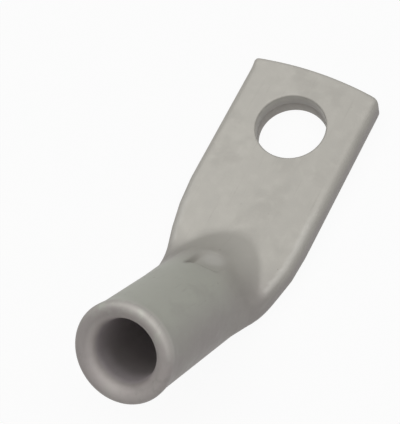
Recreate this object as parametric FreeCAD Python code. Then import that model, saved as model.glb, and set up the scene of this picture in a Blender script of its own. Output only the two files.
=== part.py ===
import FreeCAD, Part
import math
import os

from FreeCAD import Vector

# A one-piece tubular cable lug with an angled barrel. A seamless copper tube is pressed flat
# at one end to make the palm, bent at the neck, and flared at its mouth for the conductor.
# Lengths are in millimetres and angles in degrees. The origin is the stud hole's centre on
# the palm's back face, the face that seats on the terminal. +Z leaves the palm's front face,
# +Y runs from the neck to the tip, and the barrel rises towards -Y and +Z.

# Palm
PALM_WIDTH = 12.8
PALM_THICKNESS = 2.7
HOLE_TO_TIP = 6.2
TIP_ARC_RADIUS = 32.0
TIP_CORNER_RADIUS = 1.3
PALM_EDGE_RADIUS = 0.5

# Clearance hole for an M6 stud, its front rim drawn in a little by the punch
STUD_HOLE_DIAMETER = 6.5
STUD_RIM_RADIUS = 0.2

# Shoulders, where the palm's sides draw in from the straight to meet the barrel
HOLE_TO_SHOULDER = 10.0
SHOULDER_END_ANGLE = 30.0

# Neck. The elbow is where the barrel's axis crosses the palm's middle plane.
HOLE_TO_ELBOW = 17.5
BEND_ANGLE = 45.0
CRESCENT_RADIUS = 1.2
CREASE_RADIUS = 5.0
HEEL_SIDE_RADIUS = 0.5
HEEL_MIDDLE_RADIUS = 5.0

# Barrel, measured along its own axis from the elbow
BARREL_LENGTH = 16.0
TUBE_DIAMETER = 8.6
BORE_DIAMETER = 5.4

# Flared mouth, with a rounded lip outside and a bell inside
LIP_DIAMETER = 8.8
LIP_ROUND_RADIUS = 0.55
FLARE_LENGTH = 2.0
BELL_DEPTH = 1.5

# Inner end of the bore, where the tube's walls close from a circle to a flat slit in the palm
ELBOW_TO_BORE_END = 2.7
SLIT_REACH = 2.5
SLIT_WIDTH = 6.6
SLIT_HEIGHT = 0.3

# Flat mark pressed into the barrel's top, a parallelogram set a little to one side
MARK_LENGTH = 3.2
MARK_WIDTH = 2.5
MARK_DEPTH = 0.35
MARK_SKEW_ANGLE = 17.0
MARK_CORNER_RADIUS = 0.35
ELBOW_TO_MARK = 2.2
MARK_OFF_CENTRE = 0.35

# Places and directions that follow from the sizes above
HALF_WIDTH = PALM_WIDTH / 2
TUBE_RADIUS = TUBE_DIAMETER / 2
BORE_RADIUS = BORE_DIAMETER / 2
LIP_RADIUS = LIP_DIAMETER / 2
BEND = math.radians(BEND_ANGLE)
SEAM_HEIGHT = PALM_THICKNESS / 2
ELBOW = Vector(0, -HOLE_TO_ELBOW, SEAM_HEIGHT)
ALONG = Vector(0, -math.cos(BEND), math.sin(BEND))
UP = Vector(0, math.sin(BEND), math.cos(BEND))
SIDE = Vector(1, 0, 0)

# The tube's outside meets the back face in an ellipse, the footprint
FOOTPRINT_Y = ELBOW.y + SEAM_HEIGHT / math.tan(BEND)
FOOTPRINT_REACH = TUBE_RADIUS / math.sin(BEND)

# How far a Bezier's handles reach, as a share of its quarter turn, to round it like an ellipse
ROUND_HANDLE = 0.5523

# How far a cutting or joining shape runs past what it meets, and what counts as flat
OVERRUN = 1.0
FLAT = 1e-6

# The buried end of the tube's outside, safely below the back face
BURIED = -(FOOTPRINT_REACH + TUBE_DIAMETER + PALM_THICKNESS) / math.sin(BEND)


def on_barrel(along, up, side=0.0):
    """A point given by its length along the barrel's axis from the elbow, and its offsets."""
    return ELBOW + ALONG * along + UP * up + SIDE * side


def mirrored(point):
    """The point on the other side of the lug's middle plane."""
    return Vector(-point.x, point.y, point.z)


def line(start, end):
    return Part.LineSegment(start, end).toShape()


def arc(start, middle, end):
    return Part.Arc(start, middle, end).toShape()


def curve(start, start_handle, end_handle, end):
    """A smooth edge that leaves and reaches its ends along its handles."""
    bezier = Part.BezierCurve()
    bezier.setPoles([start, start_handle, end_handle, end])
    return bezier.toShape()


def palm_outline():
    """The palm's outline on its back face: arched tip, round corners, sides and shoulders."""
    tip = Vector(0, HOLE_TO_TIP, 0)
    tip_centre = Vector(0, HOLE_TO_TIP - TIP_ARC_RADIUS, 0)
    corner_x = HALF_WIDTH - TIP_CORNER_RADIUS
    corner_reach = TIP_ARC_RADIUS - TIP_CORNER_RADIUS
    corner_centre = tip_centre + Vector(corner_x, math.sqrt(corner_reach**2 - corner_x**2), 0)
    outwards = (corner_centre - tip_centre).normalize()
    tip_end = corner_centre + outwards * TIP_CORNER_RADIUS
    corner_middle = corner_centre + (outwards + SIDE).normalize() * TIP_CORNER_RADIUS
    side_top = corner_centre + SIDE * TIP_CORNER_RADIUS
    side_bottom = Vector(HALF_WIDTH, -HOLE_TO_SHOULDER, 0)

    # The shoulder is an arc that leaves the straight side smoothly and runs into the footprint
    round_by = math.radians(SHOULDER_END_ANGLE)
    inset = HALF_WIDTH - TUBE_RADIUS * math.cos(round_by)
    drop = side_bottom.y - (FOOTPRINT_Y - FOOTPRINT_REACH * math.sin(round_by))
    shoulder_radius = (inset**2 + drop**2) / (2 * inset)

    def on_shoulder(below):
        return side_bottom + Vector(math.sqrt(shoulder_radius**2 - below**2) - shoulder_radius, -below, 0)

    hidden_drop = drop + PALM_EDGE_RADIUS / 2
    shoulder_middle = on_shoulder(hidden_drop / 2)
    shoulder_end = on_shoulder(hidden_drop)

    return Part.Wire(
        [
            arc(tip_end, tip, mirrored(tip_end)),
            arc(mirrored(tip_end), mirrored(corner_middle), mirrored(side_top)),
            line(mirrored(side_top), mirrored(side_bottom)),
            arc(mirrored(side_bottom), mirrored(shoulder_middle), mirrored(shoulder_end)),
            line(mirrored(shoulder_end), shoulder_end),
            arc(shoulder_end, shoulder_middle, side_bottom),
            line(side_bottom, side_top),
            arc(side_top, corner_middle, tip_end),
        ]
    )


def palm():
    """The flattened end of the tube, with square edges."""
    return Part.Face(palm_outline()).extrude(Vector(0, 0, PALM_THICKNESS))


def barrel():
    """The tube's outside and its flared lip, turned about the barrel's axis."""
    flare_start = BARREL_LENGTH - FLARE_LENGTH
    lip_start = BARREL_LENGTH - LIP_ROUND_RADIUS
    lip_centre_up = LIP_ROUND_RADIUS - LIP_RADIUS
    ease = (lip_start - flare_start) / 2
    diagonal = LIP_ROUND_RADIUS * math.sqrt(0.5)

    # The profile lies under the axis, so that the turned face closes along the tube's back
    flare = curve(
        on_barrel(flare_start, -TUBE_RADIUS),
        on_barrel(flare_start + ease, -TUBE_RADIUS),
        on_barrel(lip_start - ease, -LIP_RADIUS),
        on_barrel(lip_start, -LIP_RADIUS),
    )
    lip = arc(
        on_barrel(lip_start, -LIP_RADIUS),
        on_barrel(lip_start + diagonal, lip_centre_up - diagonal),
        on_barrel(BARREL_LENGTH, lip_centre_up),
    )
    profile = [
        line(on_barrel(BURIED, 0), on_barrel(BURIED, -TUBE_RADIUS)),
        line(on_barrel(BURIED, -TUBE_RADIUS), on_barrel(flare_start, -TUBE_RADIUS)),
        flare,
        lip,
        line(on_barrel(BARREL_LENGTH, lip_centre_up), on_barrel(BARREL_LENGTH, 0)),
        line(on_barrel(BARREL_LENGTH, 0), on_barrel(BURIED, 0)),
    ]
    return Part.Face(Part.Wire(profile)).revolve(on_barrel(0, 0), ALONG, 360)


def space_under_back_face():
    """Everything under the palm's back face, as a block that is wider than the lug."""
    reach = HOLE_TO_ELBOW + BARREL_LENGTH + PALM_WIDTH + TUBE_DIAMETER - BURIED
    return Part.makeBox(2 * reach, 2 * reach, reach, Vector(-reach, -reach, -reach))


def bore():
    """The straight bore and the bell at its mouth, turned about the barrel's axis."""
    throat = BARREL_LENGTH - BELL_DEPTH
    bell_radius = LIP_RADIUS - LIP_ROUND_RADIUS
    bell = curve(
        on_barrel(throat, -BORE_RADIUS),
        on_barrel(throat + BELL_DEPTH * ROUND_HANDLE, -BORE_RADIUS),
        on_barrel(BARREL_LENGTH, -bell_radius + (bell_radius - BORE_RADIUS) * ROUND_HANDLE),
        on_barrel(BARREL_LENGTH, -bell_radius),
    )
    outside = BARREL_LENGTH + OVERRUN
    profile = [
        line(on_barrel(ELBOW_TO_BORE_END, 0), on_barrel(ELBOW_TO_BORE_END, -BORE_RADIUS)),
        line(on_barrel(ELBOW_TO_BORE_END, -BORE_RADIUS), on_barrel(throat, -BORE_RADIUS)),
        bell,
        line(on_barrel(BARREL_LENGTH, -bell_radius), on_barrel(outside, -bell_radius)),
        line(on_barrel(outside, -bell_radius), on_barrel(outside, 0)),
        line(on_barrel(outside, 0), on_barrel(ELBOW_TO_BORE_END, 0)),
    ]
    return Part.Face(Part.Wire(profile)).revolve(on_barrel(0, 0), ALONG, 360)


def closing_end():
    """The space where the tube's walls come together, from the bore's circle to a slit."""
    circle = Part.Circle(
        on_barrel(ELBOW_TO_BORE_END, 0, BORE_RADIUS),
        on_barrel(ELBOW_TO_BORE_END, BORE_RADIUS),
        on_barrel(ELBOW_TO_BORE_END, 0, -BORE_RADIUS),
    )
    slit_centre = ELBOW + Vector(0, SLIT_REACH, 0)
    slit = Part.Ellipse(
        slit_centre + SIDE * (SLIT_WIDTH / 2),
        slit_centre + Vector(0, 0, SLIT_HEIGHT / 2),
        slit_centre,
    )
    return Part.makeLoft([Part.Wire(circle.toShape()), Part.Wire(slit.toShape())], True, True)


def stud_hole():
    """The stud hole's cutting shape, wider at the front rim by the rim's rounding."""
    radius = STUD_HOLE_DIAMETER / 2
    rim_start = PALM_THICKNESS - STUD_RIM_RADIUS
    diagonal = STUD_RIM_RADIUS * (1 - math.sqrt(0.5))
    top = PALM_THICKNESS + OVERRUN
    rim = arc(
        Vector(radius, 0, rim_start),
        Vector(radius + diagonal, 0, PALM_THICKNESS - diagonal),
        Vector(radius + STUD_RIM_RADIUS, 0, PALM_THICKNESS),
    )
    profile = [
        line(Vector(0, 0, -OVERRUN), Vector(radius, 0, -OVERRUN)),
        line(Vector(radius, 0, -OVERRUN), Vector(radius, 0, rim_start)),
        rim,
        line(Vector(radius + STUD_RIM_RADIUS, 0, PALM_THICKNESS), Vector(radius + STUD_RIM_RADIUS, 0, top)),
        line(Vector(radius + STUD_RIM_RADIUS, 0, top), Vector(0, 0, top)),
        line(Vector(0, 0, top), Vector(0, 0, -OVERRUN)),
    ]
    return Part.Face(Part.Wire(profile)).revolve(Vector(0, 0, 0), Vector(0, 0, 1), 360)


def pressed_mark():
    """The punch that leaves the flat mark, with its four standing edges rounded."""
    floor = TUBE_RADIUS - MARK_DEPTH
    skew = MARK_WIDTH / 2 * math.tan(math.radians(MARK_SKEW_ANGLE))
    near, far = ELBOW_TO_MARK - MARK_LENGTH / 2, ELBOW_TO_MARK + MARK_LENGTH / 2
    left, right = MARK_OFF_CENTRE - MARK_WIDTH / 2, MARK_OFF_CENTRE + MARK_WIDTH / 2
    corners = [
        on_barrel(near + skew, floor, left),
        on_barrel(far + skew, floor, left),
        on_barrel(far - skew, floor, right),
        on_barrel(near - skew, floor, right),
    ]
    outline = Part.makePolygon(corners + corners[:1])
    punch = Part.Face(outline).extrude(UP * (MARK_DEPTH + OVERRUN))
    standing = [edge for edge in punch.Edges if abs(edge.tangentAt(edge.FirstParameter).dot(UP)) > 1 - FLAT]
    return punch.makeFillet(MARK_CORNER_RADIUS, standing)


def lies_at(edge, height):
    """Whether an edge lies flat at a height."""
    box = edge.BoundBox
    return abs(box.ZMin - height) < FLAT and abs(box.ZMax - height) < FLAT


def edge_radii(edge):
    """An edge's rounding radii at its front and rear ends, or None where it is left alone."""
    on_footprint = isinstance(edge.Curve, Part.Ellipse)
    if lies_at(edge, PALM_THICKNESS):
        radius = CRESCENT_RADIUS if on_footprint else PALM_EDGE_RADIUS
        return radius, radius
    if lies_at(edge, 0) and on_footprint:
        return HEEL_SIDE_RADIUS, HEEL_MIDDLE_RADIUS
    if lies_at(edge, 0):
        on_shoulder = edge.BoundBox.YMin < -HOLE_TO_SHOULDER - FLAT
        return PALM_EDGE_RADIUS, HEEL_SIDE_RADIUS if on_shoulder else PALM_EDGE_RADIUS
    if isinstance(edge.Curve, Part.BSplineCurve):
        return CREASE_RADIUS, CREASE_RADIUS
    return None


def with_rounded_edges(body):
    """The body with the palm's edges, crescent, creases and heel rounded in one operation."""
    document = FreeCAD.newDocument("rounding")
    sharp = document.addObject("Part::Feature", "sharp")
    sharp.Shape = body
    rounded = document.addObject("Part::Fillet", "rounded")
    rounded.Base = sharp
    table = []
    for number, edge in enumerate(body.Edges, start=1):
        radii = edge_radii(edge)
        if radii is None:
            continue
        starts_in_front = edge.valueAt(edge.FirstParameter).y > edge.valueAt(edge.LastParameter).y
        first, last = radii if starts_in_front else radii[::-1]
        table.append((number, first, last))
    rounded.Edges = table
    document.recompute()
    shape = rounded.Shape.copy()
    FreeCAD.closeDocument(document.Name)
    return shape


def cable_lug():
    """The whole lug: palm and barrel joined and rounded, then bored, punched and marked."""
    outside = palm().fuse(barrel().cut(space_under_back_face())).removeSplitter()
    lug = with_rounded_edges(outside)
    for space in (bore(), closing_end(), stud_hole(), pressed_mark()):
        lug = lug.cut(space)
    return lug.Solids[0]


os.makedirs("parts", exist_ok=True)
lug = cable_lug()
lug.exportStep("parts/cable_lug.step")
print("cable_lug: valid %s, volume %.2f mm3, faces %d" % (lug.isValid(), lug.Volume, len(lug.Faces)))
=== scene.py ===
"""A tubular cable lug of tin-plated copper, dressed over its CAD frame.

The lug is made here as the real one is: a plain tube is drawn, one end is pressed flat and bent
at the neck, the other is flared, and then the stud hole is punched. Sizes are in millimetres and
the finished mesh is in metres, in the frame of the CAD part: the stud hole's centre on the palm's
back face is the origin, +Z leaves the palm's front and +Y runs from the neck to the tip.
"""

import enum
import logging
import math
from dataclasses import dataclass, field

import bpy
import numpy as np
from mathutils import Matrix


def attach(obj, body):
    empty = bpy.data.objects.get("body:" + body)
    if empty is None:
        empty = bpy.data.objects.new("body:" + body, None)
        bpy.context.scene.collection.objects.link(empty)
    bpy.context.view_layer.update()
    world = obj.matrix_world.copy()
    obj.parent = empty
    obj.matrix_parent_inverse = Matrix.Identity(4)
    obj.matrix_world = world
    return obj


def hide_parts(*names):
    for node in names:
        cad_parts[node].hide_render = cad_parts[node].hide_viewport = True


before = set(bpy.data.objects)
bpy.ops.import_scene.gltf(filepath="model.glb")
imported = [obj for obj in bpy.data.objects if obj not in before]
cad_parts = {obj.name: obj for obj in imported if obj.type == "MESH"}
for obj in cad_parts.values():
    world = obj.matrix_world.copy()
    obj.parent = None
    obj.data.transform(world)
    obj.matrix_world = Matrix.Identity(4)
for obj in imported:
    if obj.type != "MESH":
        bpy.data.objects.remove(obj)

logging.basicConfig(level=logging.INFO, format="%(message)s")
log = logging.getLogger("cable lug")

MILLIMETRE = 0.001
NEARLY_NOTHING = 1e-9
# The folds' rubbed upper edges, with a painted highlight.
RUBBED_EDGE_AND_HIGHLIGHT = "rubbed edge and painted highlight"
Array = np.ndarray
Socket = bpy.types.NodeSocket
Colour = tuple[float, float, float, float]
Fed = bpy.types.NodeSocket | float | tuple[float, ...]


def rounded_corner(first: Array, second: Array, radius: float | Array) -> Array:
    """Where two spaces overlap, with a rounded edge between them.

    Args:
        first: Signed distances to the first space, negative inside.
        second: Signed distances to the second space.
        radius: The rounding of the edge.

    Returns:
        Signed distances to the overlap.
    """
    a = first + radius
    b = second + radius
    inside = np.minimum(np.maximum(a, b), 0)
    return inside + np.hypot(np.maximum(a, 0), np.maximum(b, 0)) - radius


def blended_join(first: Array, second: Array, radius: float | Array) -> Array:
    """Two spaces joined, with a hollow fillet between them.

    Args:
        first: Signed distances to the first space, negative inside.
        second: Signed distances to the second space.
        radius: The fillet's radius.

    Returns:
        Signed distances to the joined space.
    """
    a = np.maximum(radius - first, 0)
    b = np.maximum(radius - second, 0)
    return np.maximum(radius, np.minimum(first, second)) - np.hypot(a, b)


def eased(value: Array, start: float, end: float) -> Array:
    """A smooth step from 0 at the start to 1 at the end."""
    share = np.clip((value - start) / (end - start), 0, 1)
    return share * share * (3 - 2 * share)


@dataclass
class LugForm:
    """The lug's pressed form, as distances from its skin.

    The sizes are those of the CAD part, with the shoulders as the press left them.
    """

    palm_half_width: float = 6.4
    palm_thickness: float = 2.7
    hole_to_tip: float = 6.2
    tip_arc_radius: float = 32.0
    left_tip_corner: float = 0.35
    right_tip_corner: float = 0.5
    right_corner_shift: float = 0.4
    corner_fade: tuple[float, float] = (-1.0, 0.5)
    tip_edge_radius: float = 0.2
    side_edge_radius: float = 0.8
    hole_to_elbow: float = 17.5
    bend_angle: float = 45.0
    bend_radius: float = 5.0
    left_ramp: float = 0.3
    middle_ramp: float = 1.14
    right_ramp: float = 0.85
    ramp_sides: tuple[float, float, float] = (-4.5, 2.5, 4.5)
    ramp_fillet: float = 0.12
    crease_radius: float = 0.6
    left_crease_radius: float = 1.2
    left_crease_fade: tuple[float, float] = (2.5, 4.2)
    heel_side_radius: float = 0.5
    heel_middle_radius: float = 5.0
    heel_start: float = 30.0
    tube_radius: float = 4.3
    shoulder_stations: tuple[float, ...] = (
        30.0, -8.0, -10.7, -13.2, -15.1, -16.5, -17.6, -18.8, -20.5, -23.0
    )
    right_shoulder: tuple[float, ...] = (6.4, 6.4, 6.4, 6.25, 5.87, 5.55, 5.24, 4.82, 4.52, 3.8)
    left_shoulder: tuple[float, ...] = (6.4, 6.38, 6.15, 5.65, 5.12, 4.85, 4.65, 4.4, 4.1, 3.6)
    mark_along: float = 2.2
    mark_aside: float = 0.35
    mark_length: float = 3.2
    mark_width: float = 2.5
    mark_depth: float = 0.42
    mark_near_depth: float = 0.03
    mark_slope_length: float = 2.4
    mark_skew: float = 17.0
    mark_softness: float = 0.3
    mark_floor_round: float = 0.1

    @property
    def seam_height(self) -> float:
        """The height of the palm's middle plane, where the tube's two walls meet."""
        return self.palm_thickness / 2

    @property
    def elbow(self) -> Array:
        """The point where the barrel's axis crosses the palm's middle plane."""
        return np.array([0.0, -self.hole_to_elbow, self.seam_height])

    @property
    def along(self) -> Array:
        """The direction from the elbow along the barrel's axis to the mouth."""
        bend = math.radians(self.bend_angle)
        return np.array([0.0, -math.cos(bend), math.sin(bend)])

    @property
    def up(self) -> Array:
        """The direction out of the barrel's top."""
        bend = math.radians(self.bend_angle)
        return np.array([0.0, math.sin(bend), math.cos(bend)])

    def on_barrel(self, along: float | Array, side: Array, up: Array) -> Array:
        """Points given by their place on the barrel.

        Args:
            along: Their lengths along the barrel, from the elbow.
            side: Their offsets across it.
            up: Their offsets out of its top.

        Returns:
            The points in the lug's frame.
        """
        along = np.broadcast_to(along, np.shape(side))
        across = np.stack([side, np.zeros_like(side), np.zeros_like(side)], axis=-1)
        return self.elbow + along[..., None] * self.along + up[..., None] * self.up + across

    def unrolled(self, points: Array) -> tuple[Array, Array]:
        """Follows the bend and lays it flat.

        Args:
            points: Points in the lug's frame.

        Returns:
            Each point's place along the flat strip, on the palm's Y scale, and its height over
            the strip's middle plane.
        """
        bend = math.radians(self.bend_angle)
        tangent = self.bend_radius * math.tan(bend / 2)
        start = -self.hole_to_elbow + tangent
        pivot_height = self.seam_height + self.bend_radius
        back = start - points[..., 1]
        below = pivot_height - points[..., 2]
        angle = np.arctan2(back, below)
        reach = np.hypot(back, below)
        off = points - self.elbow
        barrel_along = off @ self.along
        barrel_up = off @ self.up
        flat_y = np.where(angle < 0, points[..., 1], start - self.bend_radius * angle)
        height = np.where(angle < 0, points[..., 2] - self.seam_height, self.bend_radius - reach)
        past = (angle > bend) | (below < 0)
        past &= barrel_along > tangent
        flat_y = np.where(past, start - self.bend_radius * bend - (barrel_along - tangent), flat_y)
        return flat_y, np.where(past, barrel_up, height)

    def strip(self, points: Array, to_tube: Array) -> Array:
        """Distances from the flattened strip, with the crescent ramp that leads up to the barrel.

        Args:
            points: Points in the lug's frame.
            to_tube: Their distances from the round tube.

        Returns:
            Distances from the palm and from the folds that fade into the barrel.
        """
        flat_y, height = self.unrolled(points)
        side = points[..., 0]
        stations = self.shoulder_stations[::-1]
        right = np.interp(flat_y, stations, self.right_shoulder[::-1])
        left = np.interp(flat_y, stations, self.left_shoulder[::-1])
        to_side = np.where(side > 0, side - right, -side - left)
        tip_centre = self.hole_to_tip - self.tip_arc_radius
        to_tip = np.hypot(side, flat_y - tip_centre) - self.tip_arc_radius
        corner = np.where(side > 0, self.right_tip_corner, self.left_tip_corner)
        outline = rounded_corner(to_side, to_tip, corner)
        outline = np.maximum(outline, stations[0] - flat_y)
        start, middle, end = self.ramp_sides
        reach = self.left_ramp + (self.middle_ramp - self.left_ramp) * eased(side, start, middle)
        reach += (self.right_ramp - self.middle_ramp) * eased(side, middle, end)
        over = height - self.seam_height
        ramp = (over + to_tube - reach) * math.sqrt(0.5)
        top = blended_join(over, ramp, self.ramp_fillet)
        faces = np.maximum(top, -height - self.seam_height)
        past_corner = to_tip - to_side - np.where(side > 0, self.right_corner_shift, 0)
        at_tip = eased(past_corner, *self.corner_fade)
        edge = self.side_edge_radius + (self.tip_edge_radius - self.side_edge_radius) * at_tip
        return rounded_corner(outline, faces, edge)

    def mark(self, points: Array) -> Array:
        """Distances from the small dish that the press leaves, deepest towards the mouth.

        Args:
            points: Points in the lug's frame.

        Returns:
            One distance for each point, negative in the dish.
        """
        off = points - self.elbow
        side = off[..., 0] - self.mark_aside
        along = off @ self.along - self.mark_along + side * math.tan(math.radians(self.mark_skew))
        ends = np.abs(along) - self.mark_length / 2
        sides = np.abs(side) - self.mark_width / 2
        down_slope = np.clip((along + self.mark_length / 2) / self.mark_slope_length, 0, 1)
        dish = (self.mark_depth - self.mark_near_depth) * (1 - (1 - down_slope) ** 2)
        floor = self.tube_radius - self.mark_near_depth - dish - off @ self.up
        outline = rounded_corner(ends, sides, self.mark_softness)
        return rounded_corner(outline, floor, self.mark_floor_round)

    def heel(self, side: Array) -> Array:
        """How much of the heel is rounded away, at a place across the barrel.

        Args:
            side: The places, from the barrel's middle plane.

        Returns:
            The depths at which the rounding starts, under the barrel's skin and over the back
            face: wide under the barrel's middle, tight at its sides.
        """
        turn = np.arccos(np.clip(np.abs(side) / self.tube_radius, 0, 1))
        start = math.radians(self.heel_start)
        share = np.clip((turn - start) / (math.pi / 2 - start), 0, 1)
        radius = self.heel_side_radius + (self.heel_middle_radius - self.heel_side_radius) * share
        return radius * (1 - np.sin(turn) * math.cos(math.radians(self.bend_angle)))

    def skin(self, points: Array) -> Array:
        """Distances from the lug's outside, negative in the metal.

        Args:
            points: Points in the lug's frame, in millimetres.

        Returns:
            One distance for each point.
        """
        off = points - self.elbow
        to_tube = np.hypot(off[..., 0], off @ self.up) - self.tube_radius
        tube = rounded_corner(to_tube, -points[..., 2], self.heel(off[..., 0]))
        wider = self.left_crease_radius - self.crease_radius
        crease = self.crease_radius + wider * eased(-points[..., 0], *self.left_crease_fade)
        whole = blended_join(self.strip(points, to_tube), tube, crease)
        whole = np.maximum(whole, -points[..., 2])
        return rounded_corner(whole, -self.mark(points), self.mark_softness)


@dataclass
class MouthForm:
    """The barrel's mouth: a slight flare, a rounded lip and a bell that leads into the bore."""

    barrel_length: float = 16.0
    bore_radius: float = 2.7
    lip_radius: float = 4.4
    lip_round: float = 0.55
    flare_length: float = 2.0
    bell_depth: float = 1.5
    bore_end: float = 2.7
    slit_reach: float = 2.5
    slit_half_width: float = 3.3
    slit_half_height: float = 0.15

    def outside(self, tube_radius: float, steps: int) -> list[tuple[float, float]]:
        """The flare and the lip.

        Args:
            tube_radius: The radius that the flare starts from.
            steps: How many rings each of them has.

        Returns:
            The rings' lengths along the barrel with their radii.
        """
        start = self.barrel_length - self.flare_length
        end = self.barrel_length - self.lip_round
        rings = []
        for share in np.linspace(0, 1, steps):
            rise = share * share * (3 - 2 * share)
            radius = tube_radius + (self.lip_radius - tube_radius) * rise
            rings.append((start + (end - start) * share, radius))
        for angle in np.linspace(0, math.pi / 2, steps)[1:]:
            out = self.lip_radius - self.lip_round * (1 - math.cos(angle))
            rings.append((end + self.lip_round * math.sin(angle), out))
        return rings

    def inside(self, steps: int) -> list[tuple[float, float]]:
        """The bell and the straight bore.

        Args:
            steps: How many rings each of them has.

        Returns:
            The rings' lengths along the barrel with their radii.
        """
        bell_radius = self.lip_radius - self.lip_round
        drop = bell_radius - self.bore_radius
        rings = []
        for angle in np.linspace(0, math.pi / 2, steps + 1)[1:]:
            along = self.barrel_length - self.bell_depth * (1 - math.cos(angle))
            rings.append((along, bell_radius - drop * math.sin(angle)))
        throat = self.barrel_length - self.bell_depth
        for along in np.linspace(throat, self.bore_end, steps)[1:]:
            rings.append((along, self.bore_radius))
        return rings


class Measure(enum.Enum):
    """What the plate's bands are measured by: places in millimetres, noises and shares."""

    SIDE = "across the lug, from its middle plane"
    ALONG = "along the barrel, from the elbow"
    UP = "out of the barrel's top, from its axis"
    OFF_AXIS = "off the barrel's axis"
    OFF_BORE = "off the bore's wall"
    FROM_LIP = "along the barrel, from the lip's end"
    OVER_PALM = "over the palm's front face"
    FROM_HOLE = "from the stud hole's axis"
    DOWN_FOLD = "out and down the barrel's side"
    FROM_GLEAM = "from the bright middle of the pressed mark"
    FROM_SMUDGE = "from the painted shade at the pressed mark's left edge"
    CLOUDS = "wide soft noise"
    MOTTLE = "finer noise"
    DOTS = "small scattered dots"
    LINES = "faint lines left by the drawing die"
    SHADED = "share of shade"
    WORN = "share of a rubbed edge with a painted highlight"


@dataclass(frozen=True)
class Band:
    """A smooth step along one measure, from 0 at the start to 1 at the end."""

    measure: Measure
    start: float
    end: float


@dataclass(frozen=True)
class Tone:
    """A colour laid over the plate by its share, where all its bands meet."""

    what: str
    colour: Colour
    share: float
    bands: tuple[Band, ...] = ()
    weight: Measure | None = None


@dataclass
class NodeBench:
    """A material's node tree, with short ways to place and link its nodes."""

    tree: bpy.types.NodeTree
    measures: dict[Measure, Socket] = field(default_factory=dict)

    def node(self, kind: str, **settings: object) -> bpy.types.Node:
        """Adds a node.

        Args:
            kind: The node's type.
            **settings: Its settings by name.

        Returns:
            The node.
        """
        node = self.tree.nodes.new(kind)
        for name, value in settings.items():
            setattr(node, name, value)
        return node

    def feed(self, socket: Socket, value: Fed) -> None:
        """Links a socket to another one's output, or gives it a plain value.

        Args:
            socket: The socket that is fed.
            value: What feeds it.
        """
        if isinstance(value, bpy.types.NodeSocket):
            self.tree.links.new(value, socket)
        else:
            socket.default_value = value

    def fed(self, node: bpy.types.Node, *values: Fed) -> bpy.types.Node:
        """Feeds a node's first sockets in order.

        Args:
            node: The node.
            *values: What feeds each socket.

        Returns:
            The node.
        """
        for socket, value in zip(node.inputs, values):
            self.feed(socket, value)
        return node

    def maths(self, operation: str, *values: Fed) -> Socket:
        """One sum on one or two values, such as MULTIPLY."""
        return self.fed(self.node("ShaderNodeMath", operation=operation), *values).outputs["Value"]

    def vector(self, operation: str, first: Fed, second: Fed) -> bpy.types.Node:
        """One sum on two vectors, such as MULTIPLY or DOT_PRODUCT."""
        return self.fed(self.node("ShaderNodeVectorMath", operation=operation), first, second)

    def number(self, operation: str, first: Fed, second: Fed) -> Socket:
        """One sum on two vectors that gives a number, such as DOT_PRODUCT or DISTANCE."""
        return self.vector(operation, first, second).outputs["Value"]

    def joined(self, x: Fed, y: Fed, z: Fed) -> Socket:
        """A vector made of its three parts."""
        return self.fed(self.node("ShaderNodeCombineXYZ"), x, y, z).outputs["Vector"]

    def step(self, value: Fed, band: Band) -> Socket:
        """A smooth step along a value.

        Args:
            value: The value.
            band: Where the step runs. Its end may be the lower of the two.

        Returns:
            The step's socket, 0 at the band's start and 1 at its end.
        """
        node = self.node("ShaderNodeMapRange", interpolation_type="SMOOTHSTEP")
        rises = band.start < band.end
        low, high = min(band.start, band.end), max(band.start, band.end)
        self.fed(node, value, low, high, 0.0 if rises else 1.0, 1.0 if rises else 0.0)
        return node.outputs["Result"]

    def noise(self, place: Socket, scale: float, detail: float = 2.0, rough: float = 0.5) -> Socket:
        """Cloudy noise.

        Args:
            place: The place in millimetres.
            scale: How many patches there are to the millimetre.
            detail: How many finer layers there are.
            rough: How strong the finer layers are.

        Returns:
            The noise's socket, about 0.5 on average.
        """
        node = self.node("ShaderNodeTexNoise")
        self.feed(node.inputs["Vector"], place)
        node.inputs["Scale"].default_value = scale
        node.inputs["Detail"].default_value = detail
        node.inputs["Roughness"].default_value = rough
        return node.outputs["Fac"]

    def amount(self, share: Fed, *bands: Band) -> Fed:
        """A share that fades out at the end of each of its bands.

        Args:
            share: The share where all the bands meet.
            *bands: The bands.

        Returns:
            The share at each place.
        """
        for band in bands:
            share = self.maths("MULTIPLY", self.step(self.measures[band.measure], band), share)
        return share

    def laid(self, tone: Tone, colour: Fed) -> Socket:
        """Lays one more tone over a colour.

        Args:
            tone: The tone.
            colour: The colour so far.

        Returns:
            The new colour's socket.
        """
        share: Fed = tone.share
        if tone.weight is not None:
            share = self.maths("MULTIPLY", self.measures[tone.weight], share)
        node = self.node("ShaderNodeMix", data_type="RGBA", label=tone.what)
        self.feed(node.inputs[0], self.amount(share, *tone.bands))
        self.feed(node.inputs[6], colour)
        self.feed(node.inputs[7], tone.colour)
        return node.outputs[2]


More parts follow.
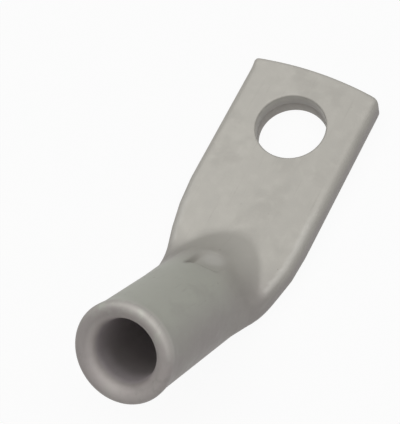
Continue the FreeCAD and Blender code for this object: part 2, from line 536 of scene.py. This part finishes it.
@dataclass(frozen=True)
class TinPlate:
    """Matt tin plate over drawn copper.

    The palm is a pale warm grey and the barrel greener on its top, with a pink blush of copper
    round the mouth and low on the barrel's sides, where it is also painted shade. The bore is a
    dull purplish grey, with oxide and painted shade low inside it.
    """

    name: str = "matt tin plate"
    palm: Colour = (0.425, 0.41, 0.375, 1.0)
    barrel: Colour = (0.425, 0.43, 0.382, 1.0)
    # Copper blush round the mouth; low on the barrel's sides it is also painted shade.
    blush: Colour = (0.365, 0.335, 0.322, 1.0)
    # A dull grey for the clouds and the drawing lines, also laid as painted shade towards the right
    # and on the crescent.
    cloud: Colour = (0.31, 0.297, 0.27, 1.0)
    # Painted shade in the folds, low on the side walls and on the left of the bell.
    shade: Colour = (0.265, 0.242, 0.236, 1.0)
    # Painted shade at the top of the bell, which faces down.
    bell_top_shade: Colour = (0.27, 0.235, 0.225, 1.0)
    # Painted light on the upper throat, inside the mouth.
    throat: Colour = (0.53, 0.49, 0.472, 1.0)
    # Painted highlight on the rim's upper outer edge.
    rim: Colour = (0.55, 0.53, 0.495, 1.0)
    bore: Colour = (0.45, 0.415, 0.42, 1.0)
    # Dark specks, also laid as painted shade at the mark's left edge and, with oxide, low in the
    # bore.
    speck_and_shade: Colour = (0.16, 0.145, 0.13, 1.0)
    # A pale tin for the mottle, also laid as a painted highlight on the folds' upper edges and on
    # the mark's middle.
    bright: Colour = (0.50, 0.49, 0.46, 1.0)
    metallic: float = 0.6
    roughness: float = 0.62
    rough_clouds: float = 0.12
    palm_run: tuple[float, float, float] = (5.0, 0.22, 0.22)
    barrel_run: tuple[float, float, float] = (5.0, 0.4, 0.4)
    cloud_scale: float = 0.33
    mottle_scale: float = 1.3
    dot_scale: float = 2.2
    bump_strength: float = 0.5
    wave_scale: float = 0.55
    wave_depth: float = 0.03
    grain_scale: float = 7.0
    grain_depth: float = 0.004
    # The slope of the folds' painted shade, its shares in the folds and on the low walls, and how
    # much less of it the stud hole's wall takes.
    fold_slope: float = 0.6
    fold_shade: float = 0.68
    wall_shade: float = 0.7
    hole_relief: float = 0.3
    # The middle of the mark's burnished floor, with its painted highlight.
    gleam_place: tuple[float, float, float] = (0.5, 1.6, 4.1)
    # How far inside the mark's left side its painted shade lies.
    shaded_edge_inset: float = 0.1
    past_neck: Band = Band(Measure.ALONG, 0.8, 6.0)
    at_lip: Band = Band(Measure.FROM_LIP, -1.1, -0.4)
    in_bore: tuple[Band, ...] = (Band(Measure.OFF_BORE, 0.15, 0.02), Band(Measure.ALONG, 2.0, 3.0))
    # Where painted shade falls: in the folds and low on the walls, with less of it by the stud
    # hole.
    in_fold: tuple[Band, ...] = (Band(Measure.DOWN_FOLD, -0.4, 4.2), Band(Measure.ALONG, -3.0, 1.5))
    low_wall: Band = Band(Measure.OVER_PALM, -0.25, -1.1)
    near_hole: Band = Band(Measure.FROM_HOLE, 3.7, 3.3)
    tones: tuple[Tone, ...] = (
        Tone("greener barrel", barrel, 1.0, (past_neck,)),
        # Copper blush and painted shade: pinker and darker low on the barrel's sides, away from the
        # light above.
        Tone("copper blush and painted shade low on the barrel", blush, 0.75, (
            past_neck, Band(Measure.UP, 3.4, 0.2), Band(Measure.CLOUDS, 0.3, 0.62),
        )),
        # Painted shade: darker towards the right, away from the light.
        Tone("painted shade towards the right", cloud, 0.25, (Band(Measure.SIDE, -6.0, 9.0),)),
        Tone("dull clouds", cloud, 0.3, (Band(Measure.CLOUDS, 0.5, 0.72),)),
        Tone("pale mottle", bright, 0.2, (Band(Measure.MOTTLE, 0.45, 0.8),)),
        # Painted shade in the folds under the neck and low on the side walls.
        Tone("painted shade in the folds and low on the walls", shade, 1.0, weight=Measure.SHADED),
        # Painted shade on the crescent, where the barrel's dome rises from the palm.
        Tone("crescent", cloud, 0.32, (
            Band(Measure.OVER_PALM, 0.02, 0.3), Band(Measure.ALONG, 5.0, 1.0),
        )),
        # Rubbed fold edges with a painted highlight along their upper side.
        Tone("rubbed fold edges with a painted highlight", bright, 0.4, weight=Measure.WORN),
        Tone("copper blush on the lip", blush, 0.7, (at_lip, Band(Measure.MOTTLE, 0.3, 0.55))),
        # Painted highlight on the upper outer edge of the rim.
        Tone("painted highlight on the rim", rim, 0.42, (
            Band(Measure.FROM_LIP, -1.2, -0.75), Band(Measure.OFF_AXIS, 4.0, 4.25),
            Band(Measure.UP, 0.3, 2.4), Band(Measure.SIDE, -5.0, 3.5),
        )),
        # Painted shade at the top of the bell, which faces down, away from the light.
        Tone("painted shade at the top of the bell", bell_top_shade, 0.35, (
            at_lip, Band(Measure.OFF_AXIS, 3.95, 3.6), Band(Measure.UP, 1.5, 3.2),
        )),
        # Painted shade on the left of the bell.
        Tone("painted shade on the left of the bell", shade, 0.45, (
            at_lip, Band(Measure.OFF_AXIS, 4.25, 3.9), Band(Measure.OFF_AXIS, 2.9, 3.4),
            Band(Measure.SIDE, 0.5, -1.5),
        )),
        # Painted light on the upper throat, near the mouth.
        Tone("painted light on the upper throat", throat, 0.72, (
            Band(Measure.OFF_BORE, 0.8, 0.2), Band(Measure.UP, -5.5, 1.0),
            Band(Measure.ALONG, 12.0, 14.0),
        )),
        Tone("bore", bore, 1.0, in_bore),
        # Oxide and painted shade, darker deeper and lower in the bore.
        Tone("oxide and painted shade low in the bore", speck_and_shade, 0.42, in_bore + (
            Band(Measure.ALONG, 14.2, 12.6), Band(Measure.ALONG, 7.5, 10.5),
            Band(Measure.UP, 0.3, -2.0),
        )),
        Tone("drawing lines", cloud, 0.3, (Band(Measure.LINES, 0.6, 0.74),)),
        # Burnished middle of the mark, with a painted highlight.
        Tone("burnished middle of the mark with a painted highlight", bright, 0.5, (Band(Measure.FROM_GLEAM, 1.35, 0.4),)),
        # Painted shade along the mark's left wall, which faces away from the light.
        Tone("painted shade at the left edge of the mark", speck_and_shade, 0.6, (
            Band(Measure.FROM_SMUDGE, 0.45, 0.05), Band(Measure.ALONG, 1.0, 4.0),
            Band(Measure.ALONG, 4.9, 4.3), Band(Measure.UP, 2.5, 3.5),
        )),
        Tone("specks", speck_and_shade, 0.35, (Band(Measure.DOTS, 0.86, 0.9),)),
    )

    def make(self, form: LugForm, mouth: MouthForm) -> bpy.types.Material:
        """Builds the material from procedural nodes on Object coordinates.

        Args:
            form: The lug's form, which says where the barrel and the pressed mark lie.
            mouth: The mouth's form, which says where the lip and the bore lie.

        Returns:
            The material.
        """
        material = bpy.data.materials.new(self.name)
        material.use_nodes = True
        bench = NodeBench(material.node_tree)
        shader = material.node_tree.nodes["Principled BSDF"]
        coordinates = bench.node("ShaderNodeTexCoord").outputs["Object"]
        per_metre = (1 / MILLIMETRE,) * 3
        place = bench.vector("MULTIPLY", coordinates, per_metre).outputs["Vector"]
        self.measure(bench, place, form, mouth)
        colour: Fed = self.palm
        for tone in self.tones:
            colour = bench.laid(tone, colour)
        bench.feed(shader.inputs["Base Color"], colour)
        shader.inputs["Metallic"].default_value = self.metallic

        swing = bench.maths("SUBTRACT", bench.measures[Measure.MOTTLE], 0.5)
        swing = bench.maths("MULTIPLY", swing, self.rough_clouds * 2)
        bench.feed(shader.inputs["Roughness"], bench.maths("ADD", swing, self.roughness))
        waves = self.bump(bench, bench.noise(place, self.wave_scale), self.wave_depth)
        grains = bench.noise(place, self.grain_scale, detail=3.0)
        grain = self.bump(bench, grains, self.grain_depth)
        bench.feed(grain.inputs["Normal"], waves.outputs["Normal"])
        bench.feed(shader.inputs["Normal"], grain.outputs["Normal"])
        return material

    def measure(self, bench: NodeBench, place: Socket, form: LugForm, mouth: MouthForm) -> None:
        """Puts every measure on the bench.

        Args:
            bench: The material's nodes.
            place: The place in millimetres.
            form: The lug's form.
            mouth: The mouth's form.
        """
        off = bench.vector("SUBTRACT", place, tuple(map(float, form.elbow))).outputs["Vector"]
        side = bench.number("DOT_PRODUCT", off, (1.0, 0.0, 0.0))
        along = bench.number("DOT_PRODUCT", off, tuple(form.along))
        up = bench.number("DOT_PRODUCT", off, tuple(form.up))
        square = bench.maths("MULTIPLY", side, side)
        square = bench.maths("ADD", square, bench.maths("MULTIPLY", up, up))
        off_axis = bench.maths("SQRT", square)
        height = bench.number("DOT_PRODUCT", place, (0.0, 0.0, 1.0))
        flat = bench.vector("MULTIPLY", place, (1.0, 1.0, 0.0)).outputs["Vector"]
        on_barrel = bench.joined(side, along, up)
        drop = bench.maths("MULTIPLY", up, self.fold_slope)
        # The mark's left edge, where painted shade is laid.
        edge = form.mark_aside - form.mark_width / 2 + self.shaded_edge_inset
        # The folds' rubbed upper edges, with their painted highlight, as noted on the mesh.
        rub_and_highlight = bench.node("ShaderNodeAttribute", attribute_name=RUBBED_EDGE_AND_HIGHLIGHT)
        bench.measures |= {
            Measure.SIDE: side,
            Measure.ALONG: along,
            Measure.UP: up,
            Measure.OFF_AXIS: off_axis,
            Measure.OFF_BORE: bench.maths("SUBTRACT", off_axis, mouth.bore_radius),
            Measure.FROM_LIP: bench.maths("SUBTRACT", along, mouth.barrel_length),
            Measure.OVER_PALM: bench.maths("SUBTRACT", height, form.palm_thickness),
            Measure.FROM_HOLE: bench.number("DISTANCE", flat, (0.0, 0.0, 0.0)),
            Measure.DOWN_FOLD: bench.maths("SUBTRACT", bench.maths("ABSOLUTE", side), drop),
            Measure.FROM_GLEAM: bench.number("DISTANCE", on_barrel, self.gleam_place),
            Measure.FROM_SMUDGE: bench.maths("ABSOLUTE", bench.maths("SUBTRACT", side, edge)),
            Measure.CLOUDS: bench.noise(place, self.cloud_scale, detail=4.0, rough=0.55),
            Measure.MOTTLE: bench.noise(place, self.mottle_scale, detail=3.0, rough=0.6),
            Measure.DOTS: bench.noise(place, self.dot_scale, detail=0.0),
            Measure.LINES: self.lines(bench, place, on_barrel, along),
            Measure.WORN: rub_and_highlight.outputs["Fac"],
        }
        # Painted shade in the folds and low on the walls, with less of it on the stud hole's wall.
        folds = bench.amount(self.fold_shade, *self.in_fold)
        walls = bench.amount(self.wall_shade, self.low_wall)
        in_hole = bench.amount(self.hole_relief, self.low_wall, self.near_hole)
        walls = bench.maths("SUBTRACT", walls, in_hole)
        bench.measures[Measure.SHADED] = bench.maths("MAXIMUM", folds, walls)

    def lines(self, bench: NodeBench, place: Socket, on_barrel: Socket, along: Socket) -> Socket:
        """Faint lines left by the drawing die, long in their run and fine across it.

        Args:
            bench: The material's nodes.
            place: The place in millimetres.
            on_barrel: The place measured on the barrel.
            along: The length along the barrel.

        Returns:
            The lines' socket: the palm's lines before the neck and the barrel's past it.
        """
        runs = []
        for start, run in ((place, self.palm_run), (on_barrel, self.barrel_run)):
            stretched = bench.vector("MULTIPLY", start, run).outputs["Vector"]
            runs.append(bench.noise(stretched, 1.0, detail=3.0, rough=0.6))
        mix = bench.node("ShaderNodeMix", data_type="FLOAT")
        bench.feed(mix.inputs[0], bench.step(along, self.past_neck))
        bench.feed(mix.inputs[2], runs[0])
        bench.feed(mix.inputs[3], runs[1])
        return mix.outputs[0]

    def bump(self, bench: NodeBench, height: Socket, depth: float) -> bpy.types.Node:
        """Soft relief from a noise.

        Args:
            bench: The material's nodes.
            height: The noise.
            depth: The relief's depth in millimetres.

        Returns:
            The bump node.
        """
        node = bench.node("ShaderNodeBump")
        node.inputs["Strength"].default_value = self.bump_strength
        node.inputs["Distance"].default_value = depth * MILLIMETRE
        bench.feed(node.inputs["Height"], height)
        return node


@dataclass
class PressedTube:
    """The lug's whole skin, made from one drawn tube."""

    form: LugForm = field(default_factory=LugForm)
    mouth: MouthForm = field(default_factory=MouthForm)
    face_points: int = 30
    fan_angles: tuple[float, ...] = (0, 8, 18, 26, 31, 35, 40, 45, 50, 55, 59, 65, 74, 90)
    tip_turns: tuple[float, ...] = (
        89.9, 86.5, 83, 76, 67, 61, 57, 53, 49, 45, 41, 37, 33, 28, 18, 8, 0
    )
    tip_seam_depth: float = 0.07
    palm_rings: int = 60
    neck_rings: int = 40
    barrel_rings: int = 44
    mouth_rings: int = 12
    slit_rings: int = 6
    pivot_distance: float = 7.0
    bow_end: float = -4.0
    palm_end: float = -8.0
    round_from: float = -7.5
    round_to: float = 5.5
    reach: float = 12.0
    strides: int = 96
    halvings: int = 24
    weld_distance: float = 0.01

    def around(self) -> tuple[Array, Array, Array]:
        """Where the points of a ring start and which way they look.

        Returns:
            For each point its side of the flat strip, from -1 to 1, its direction while the
            ring is flat and its direction once the ring is round, both in radians.
        """
        fan = np.radians(np.array(self.fan_angles))
        top = np.linspace(1, -1, self.face_points + 1)[1:-1]
        quarter = len(fan)
        sides = [np.ones(quarter), top, -np.ones(quarter)]
        flat = [fan, np.full(len(top), math.pi / 2), math.pi - fan[::-1]]
        half_side = np.concatenate(sides)
        half_flat = np.concatenate(flat)
        side = np.concatenate([half_side[:-1], half_side[::-1][:-1]])
        angle = np.concatenate([half_flat[:-1], 2 * math.pi - half_flat[::-1][:-1]])
        count = len(side)
        round_angle = np.arange(count) * 2 * math.pi / count
        return side, angle, round_angle

    def cast(self, origins: Array, directions: Array) -> Array:
        """Moves each point outwards until it meets the lug's skin.

        Args:
            origins: Points inside the metal.
            directions: The way that each point goes, of unit length.

        Returns:
            The points on the skin.
        """
        near = np.zeros(len(origins))
        far = np.full(len(origins), self.reach)
        steps = np.linspace(0, self.reach, self.strides + 1)[1:]
        found = np.zeros(len(origins), bool)
        for step in steps:
            outside = self.form.skin(origins + directions * step) > 0
            fresh = outside & ~found
            far[fresh] = step
            near[fresh] = step - steps[0]
            found |= outside
        for _ in range(self.halvings):
            middle = (near + far) / 2
            inside = self.form.skin(origins + directions * middle[:, None]) < 0
            near = np.where(inside, middle, near)
            far = np.where(inside, far, middle)
        return origins + directions * ((near + far) / 2)[:, None]

    def fan(self) -> tuple[Array, Array]:
        """The starts and the ways of a flat ring's points.

        Returns:
            Their places across the palm and their directions.
        """
        side, flat_angle, _ = self.around()
        out = np.stack([np.cos(flat_angle), np.zeros_like(side), np.sin(flat_angle)], axis=-1)
        return side * (self.form.palm_half_width - self.form.seam_height), out

    def tip_rings(self) -> list[Array]:
        """The rounded end of the palm.

        Returns:
            The rings from the seam line out to the first full ring.
        """
        form = self.form
        across, out = self.fan()
        arc_centre = form.hole_to_tip - form.tip_arc_radius
        arc_reach = form.tip_arc_radius - form.seam_height
        along = arc_centre + np.sqrt(arc_reach**2 - across**2)
        origins = np.stack([across, along, np.full_like(across, form.seam_height)], axis=-1)
        rings = []
        for turn in self.tip_turns:
            tilt = math.radians(turn)
            directions = out * math.cos(tilt) + np.array([0, math.sin(tilt), 0])
            rings.append(self.cast(origins, directions))
        rings[0] = rings[0] - np.array([0, self.tip_seam_depth, 0])
        return rings

    def palm_ring(self, back: float, bow: float) -> Array:
        """One ring across the palm, bowed like the tip near it.

        Args:
            back: The ring's place on the Y axis at its middle.
            bow: 1 for a ring bowed like the tip, 0 for a straight one.

        Returns:
            The ring's points.
        """
        form = self.form
        across, out = self.fan()
        drop = bow * across**2 / (2 * form.tip_arc_radius)
        origins = np.stack([across, back - drop, np.full_like(across, form.seam_height)], axis=-1)
        return self.cast(origins, out)

    def neck_ring(self, share: float) -> Array:
        """One ring of the neck, on a plane that turns about a line over the bend.

        Args:
            share: 0 for the upright plane on the palm's side, 1 for the one across the barrel.

        Returns:
            The ring's points.
        """
        form = self.form
        bend = math.radians(form.bend_angle)
        turn = share * bend
        bisector = np.array([0.0, math.sin(bend / 2), math.cos(bend / 2)])
        pivot = form.elbow + bisector * self.pivot_distance
        down = np.array([0.0, -math.sin(turn), -math.cos(turn)])
        if turn <= bend / 2:
            length = (pivot[2] - form.seam_height) / math.cos(turn)
        else:
            length = ((pivot - form.elbow) @ form.up) / math.cos(bend - turn)
        centre = pivot + down * length
        return self.ring_on(centre, -down)

    def ring_on(self, centre: Array, up: Array) -> Array:
        """A ring on a plane that holds the X axis.

        Args:
            centre: The ring's centre.
            up: The plane's upward direction.

        Returns:
            The ring's points.
        """
        side, flat_angle, round_angle = self.around()
        form = self.form
        off = centre - form.elbow
        behind = off @ form.along if off[2] > NEARLY_NOTHING else -off[1]
        roundness = float(eased(np.array(behind), self.round_from, self.round_to))
        half = (form.palm_half_width - form.seam_height) * (1 - roundness)
        turn = flat_angle * (1 - roundness) + round_angle * roundness
        across = np.array([1.0, 0, 0])
        origins = centre + (side * half)[:, None] * across
        directions = np.cos(turn)[:, None] * across + np.sin(turn)[:, None] * up
        return self.cast(origins, directions)

    def circle(self, along: float, radius: float) -> Array:
        """A round ring about the barrel's axis."""
        _, _, turn = self.around()
        return self.form.on_barrel(along, radius * np.cos(turn), radius * np.sin(turn))

    def slit(self) -> Array:
        """The flat slit where the tube's walls come together inside the palm.

        Returns:
            The slit's ring.
        """
        _, _, turn = self.around()
        centre = self.form.elbow + np.array([0, self.mouth.slit_reach, 0])
        across = self.mouth.slit_half_width * np.cos(turn)
        height = self.mouth.slit_half_height * np.sin(turn)
        return centre + np.stack([across, np.zeros_like(across), height], axis=-1)

    def rings(self) -> list[Array]:
        """Every ring of the pressed tube.

        Returns:
            The rings in order, from the tip round the mouth to the bore's inner end.
        """
        form = self.form
        rings = self.tip_rings()
        upright = form.elbow[1] + self.pivot_distance * math.sin(math.radians(form.bend_angle / 2))
        first = form.hole_to_tip - form.seam_height
        for back in np.linspace(first, upright, self.palm_rings)[1:-1]:
            if back > self.palm_end:
                bow = float(eased(np.array(back), self.bow_end, first))
                rings.append(self.palm_ring(back, bow))
            else:
                centre = np.array([0, back, form.seam_height])
                rings.append(self.ring_on(centre, np.array([0, 0, 1.0])))
        for share in np.linspace(0, 1, self.neck_rings):
            rings.append(self.neck_ring(float(share)))
        bend = math.radians(form.bend_angle)
        along = self.pivot_distance * math.sin(bend / 2)
        flare = self.mouth.barrel_length - self.mouth.flare_length
        for place in np.linspace(along, flare, self.barrel_rings)[1:-1]:
            rings.append(self.ring_on(form.elbow + form.along * place, form.up))
        for place, radius in self.mouth.outside(form.tube_radius, self.mouth_rings):
            rings.append(self.circle(place, radius))
        for place, radius in self.mouth.inside(self.mouth_rings):
            rings.append(self.circle(place, radius))
        last = rings[-1]
        slit = self.slit()
        for share in np.linspace(0, 1, self.slit_rings)[1:]:
            rings.append(last * (1 - share) + slit * share)
        return rings

    def draw_tube(self, rings: int, points: int) -> bpy.types.Object:
        """Draws the plain tube that the lug is pressed from.

        Args:
            rings: How many rings the tube has along its length.
            points: How many points each ring has.

        Returns:
            A straight open tube of one millimetre to each ring, its first ring at the bottom.
        """
        bpy.ops.object.select_all(action="DESELECT")
        bpy.ops.mesh.primitive_circle_add(vertices=points, radius=1.0, location=(0, 0, 0))
        tube = bpy.context.active_object
        bpy.ops.object.mode_set(mode="EDIT")
        bpy.ops.mesh.select_all(action="SELECT")
        for _ in range(rings - 1):
            bpy.ops.mesh.extrude_edges_move(TRANSFORM_OT_translate={"value": (0, 0, 1.0)})
        bpy.ops.object.mode_set(mode="OBJECT")
        return tube

    def make(self) -> bpy.types.Object:
        """Draws the tube and presses every ring of it to its place on the lug.

        Returns:
            The lug, in metres, before its hole is punched.
        """
        rings = self.rings()
        points = len(rings[0])
        tube = self.draw_tube(len(rings), points)
        tube.name = "lug"
        mesh = tube.data
        drawn = np.zeros(len(mesh.vertices) * 3)
        mesh.vertices.foreach_get("co", drawn)
        drawn = drawn.reshape(-1, 3)
        ring_of = np.rint(drawn[:, 2]).astype(int)
        turn = np.arctan2(drawn[:, 1], drawn[:, 0])
        point_of = np.rint(turn / (2 * math.pi) * points).astype(int) % points
        pressed = np.stack(rings)[ring_of, point_of] * MILLIMETRE
        mesh.vertices.foreach_set("co", pressed.ravel())
        mesh.update()
        self.close(tube)
        return tube

    def close(self, tube: bpy.types.Object) -> None:
        """Closes the seam at the tip and the slit inside, and turns the faces outwards.

        Args:
            tube: The pressed tube, which is the active object.
        """
        bpy.ops.object.mode_set(mode="EDIT")
        bpy.ops.mesh.select_all(action="SELECT")
        bpy.ops.mesh.remove_doubles(threshold=self.weld_distance * MILLIMETRE)
        bpy.ops.mesh.select_all(action="DESELECT")
        bpy.ops.mesh.select_non_manifold(
            extend=False,
            use_wire=False,
            use_multi_face=False,
            use_non_contiguous=False,
            use_verts=False,
        )
        bpy.ops.mesh.edge_face_add()
        bpy.ops.mesh.select_all(action="SELECT")
        bpy.ops.mesh.normals_make_consistent(inside=False)
        bpy.ops.object.mode_set(mode="OBJECT")


@dataclass
class StudPunch:
    """The punch for the stud hole, turned so that it leaves a soft rim and a fine seam line."""

    radius: float = 3.25
    rim_round: float = 0.2
    back_round: float = 0.12
    seam_depth: float = 0.05
    seam_half_height: float = 0.05
    overshoot: float = 1.0
    back_steps: int = 6
    rim_steps: int = 8
    points: int = 96

    def profile(self, top: float) -> list[tuple[float, float]]:
        """The punch's outline.

        Args:
            top: The height of the palm's front face.

        Returns:
            Its heights with their radii, from below the palm to above it.
        """
        seam = top / 2
        rings = [(-self.overshoot, self.radius + self.back_round)]
        for angle in np.linspace(0, math.pi / 2, self.back_steps):
            rise = self.back_round * math.sin(angle)
            rings.append((rise, self.radius + self.back_round * math.cos(angle)))
        rings.append((seam - self.seam_half_height, self.radius))
        rings.append((seam, self.radius + self.seam_depth))
        rings.append((seam + self.seam_half_height, self.radius))
        for angle in np.linspace(0, math.pi / 2, self.rim_steps):
            rise = self.rim_round * math.sin(angle)
            widening = self.rim_round * (1 - math.cos(angle))
            rings.append((top - self.rim_round + rise, self.radius + widening))
        rings.append((top + self.overshoot, self.radius + self.rim_round))
        return rings

    def make(self, top: float) -> bpy.types.Object:
        """Turns the punch by extruding and sizing one disc, level by level.

        Args:
            top: The height of the palm's front face.

        Returns:
            The punch.
        """
        profile = self.profile(top)
        height, radius = profile[0]
        bpy.ops.object.select_all(action="DESELECT")
        bpy.ops.mesh.primitive_circle_add(
            vertices=self.points,
            radius=radius * MILLIMETRE,
            fill_type="NGON",
            location=(0, 0, height * MILLIMETRE),
        )
        punch = bpy.context.active_object
        punch.name = "stud punch"
        bpy.ops.object.transform_apply(location=True, rotation=True, scale=True)
        bpy.ops.object.mode_set(mode="EDIT")
        bpy.ops.mesh.select_all(action="SELECT")
        for next_height, next_radius in profile[1:]:
            lift = (next_height - height) * MILLIMETRE
            bpy.ops.mesh.extrude_region_move(TRANSFORM_OT_translate={"value": (0, 0, lift)})
            share = next_radius / radius
            bpy.ops.transform.resize(value=(share, share, 1.0), center_override=(0, 0, 0))
            height, radius = next_height, next_radius
        bpy.ops.mesh.select_all(action="SELECT")
        bpy.ops.mesh.normals_make_consistent(inside=False)
        bpy.ops.object.mode_set(mode="OBJECT")
        return punch


def cut_away(body: bpy.types.Object, tool: bpy.types.Object) -> None:
    """Cuts a tool's shape out of a body and removes the tool.

    Args:
        body: The mesh that is cut.
        tool: The closed mesh that cuts it.
    """
    cut = body.modifiers.new("cut", "BOOLEAN")
    cut.operation = "DIFFERENCE"
    cut.solver = "EXACT"
    cut.object = tool
    bpy.ops.object.select_all(action="DESELECT")
    bpy.context.view_layer.objects.active = body
    body.select_set(True)
    bpy.ops.object.modifier_apply(modifier=cut.name)
    bpy.data.objects.remove(tool)


@dataclass
class CableLug:
    """The lug itself: the pressed tube with its stud hole, in its tin plate."""

    tube: PressedTube = field(default_factory=PressedTube)
    stud_punch: StudPunch = field(default_factory=StudPunch)
    finish: TinPlate = field(default_factory=TinPlate)
    feel: float = 0.12
    # Where the folds' upper edges are rubbed and get a painted highlight.
    rub_highlight_turn: tuple[float, float] = (0.5, 1.1)
    rub_highlight_depth: tuple[float, float] = (-0.3, -0.1)
    rub_highlight_from: tuple[float, float] = (-4.0, -11.0)
    rub_highlight_to: tuple[float, float] = (-17.0, -14.5)
    rub_highlight_aside: tuple[float, float] = (3.5, 4.5)
    smooth_angle: float = 50.0

    def note_rubbed_and_highlit_edges(self, lug: bpy.types.Object) -> None:
        """Notes the folds' rubbed upper edges and their painted highlight, as a share at each
        point.

        Args:
            lug: The pressed and punched lug.
        """
        mesh = lug.data
        places = np.zeros(len(mesh.vertices) * 3)
        mesh.vertices.foreach_get("co", places)
        places = places.reshape(-1, 3) / MILLIMETRE
        form = self.tube.form
        # The six places around each point show how sharply the skin turns there.
        turn = -6 * form.skin(places)
        for step in np.eye(3) * self.feel:
            turn += form.skin(places + step) + form.skin(places - step)
        side, back, height = places.T
        rub_and_highlight = eased(turn / self.feel**2, *self.rub_highlight_turn)
        rub_and_highlight *= eased(height - form.palm_thickness, *self.rub_highlight_depth)
        rub_and_highlight *= eased(back, *self.rub_highlight_from) * eased(back, *self.rub_highlight_to)
        rub_and_highlight *= eased(np.abs(side), *self.rub_highlight_aside)
        layer = mesh.attributes.new(RUBBED_EDGE_AND_HIGHLIGHT, "FLOAT", "POINT")
        layer.data.foreach_set("value", rub_and_highlight)

    def make(self) -> bpy.types.Object:
        """Presses, punches and plates the lug, and puts it in the CAD node's place.

        Returns:
            The finished lug.
        """
        lug = self.tube.make()
        cut_away(lug, self.stud_punch.make(self.tube.form.palm_thickness))
        self.note_rubbed_and_highlit_edges(lug)
        lug.data.materials.clear()
        lug.data.materials.append(self.finish.make(self.tube.form, self.tube.mouth))
        bpy.ops.object.select_all(action="DESELECT")
        bpy.context.view_layer.objects.active = lug
        lug.select_set(True)
        bpy.ops.object.shade_smooth_by_angle(angle=math.radians(self.smooth_angle))
        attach(lug, "root")
        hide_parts("cable_lug")
        log.info("lug: %d points, %d faces", len(lug.data.vertices), len(lug.data.polygons))
        return lug


@dataclass
class Studio:
    """A white table and backdrop under soft light, seen from the photograph's place."""

    camera_place: tuple[float, float, float] = (0.044428, -0.060160, 0.127749)
    camera_turn: tuple[float, float, float] = (27.3987, 9.2816, 27.1648)
    lens: float = 135.0
    sensor_width: float = 36.0
    sky_strength: float = 0.16
    lamp_height: float = 0.5
    lamp_size: float = 0.8
    lamp_power: float = 2.16
    table_glow: float = 0.93
    table_width: float = 3.0
    table_tone: Colour = (0.9, 0.9, 0.9, 1.0)
    table_roughness: float = 0.9

    def camera(self) -> None:
        """Sets up the camera."""
        data = bpy.data.cameras.new("camera")
        data.lens = self.lens
        data.sensor_width = self.sensor_width
        data.clip_start = 0.01
        data.clip_end = 5.0
        camera = bpy.data.objects.new("camera", data)
        camera.location = self.camera_place
        camera.rotation_euler = [math.radians(angle) for angle in self.camera_turn]
        bpy.context.scene.collection.objects.link(camera)
        bpy.context.scene.camera = camera

    def table(self) -> None:
        """A wide white table, bright to the camera and to reflections, that keeps the shadow."""
        bpy.ops.object.select_all(action="DESELECT")
        bpy.ops.mesh.primitive_plane_add(size=self.table_width, location=(0, 0, 0))
        table = bpy.context.active_object
        table.name = "table"
        material = bpy.data.materials.new("white table")
        material.use_nodes = True
        nodes = material.node_tree.nodes
        shader = nodes["Principled BSDF"]
        shader.inputs["Base Color"].default_value = self.table_tone
        shader.inputs["Roughness"].default_value = self.table_roughness
        shader.inputs["Specular IOR Level"].default_value = 0.0
        bench = NodeBench(material.node_tree)
        glow = bench.node("ShaderNodeEmission")
        glow.inputs["Color"].default_value = (1.0, 1.0, 1.0, 1.0)
        glow.inputs["Strength"].default_value = 1.0
        mix = bench.node("ShaderNodeMixShader")
        bench.feed(mix.inputs["Fac"], bench.maths("MULTIPLY", self.seen(bench), self.table_glow))
        bench.feed(mix.inputs[1], shader.outputs["BSDF"])
        bench.feed(mix.inputs[2], glow.outputs["Emission"])
        bench.feed(nodes["Material Output"].inputs["Surface"], mix.outputs["Shader"])
        table.data.materials.append(material)

    def world(self) -> None:
        """White surroundings to the camera and to reflections, which light the lug only softly."""
        world = bpy.data.worlds.new("surroundings")
        world.use_nodes = True
        bench = NodeBench(world.node_tree)
        background = world.node_tree.nodes["Background"]
        background.inputs["Color"].default_value = (1.0, 1.0, 1.0, 1.0)
        strength = bench.maths("MAXIMUM", self.seen(bench), self.sky_strength)
        bench.feed(background.inputs["Strength"], strength)
        bpy.context.scene.world = world

    def seen(self, bench: NodeBench) -> Socket:
        """Tells what the camera sees from what only lights.

        Args:
            bench: The material's or the surroundings' nodes.

        Returns:
            A socket of 1 for what is seen, straight or in a reflection, and 0 for the rest.
        """
        path = bench.node("ShaderNodeLightPath")
        seen = bench.maths("MAXIMUM", path.outputs["Is Camera Ray"], path.outputs["Is Glossy Ray"])
        return bench.maths("MAXIMUM", seen, path.outputs["Is Transmission Ray"])

    def lamp(self) -> None:
        """Hangs one wide square lamp flat over the lug."""
        data = bpy.data.lights.new("overhead lamp", "AREA")
        data.size = self.lamp_size
        data.energy = self.lamp_power
        lamp = bpy.data.objects.new("overhead lamp", data)
        lamp.location = (0.0, 0.0, self.lamp_height)
        bpy.context.scene.collection.objects.link(lamp)

    def make(self) -> None:
        """Sets the table, the surroundings, the lamp and the camera."""
        bpy.context.scene.view_settings.view_transform = "Standard"
        self.camera()
        self.table()
        self.world()
        self.lamp()
        log.info("studio: table, surroundings, one lamp and the camera")


def main() -> None:
    """Builds the studio and the lug, and notes the lug's points and faces."""
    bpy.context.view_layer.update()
    Studio().make()
    CableLug().make()


if __name__ == "__main__":
    main()
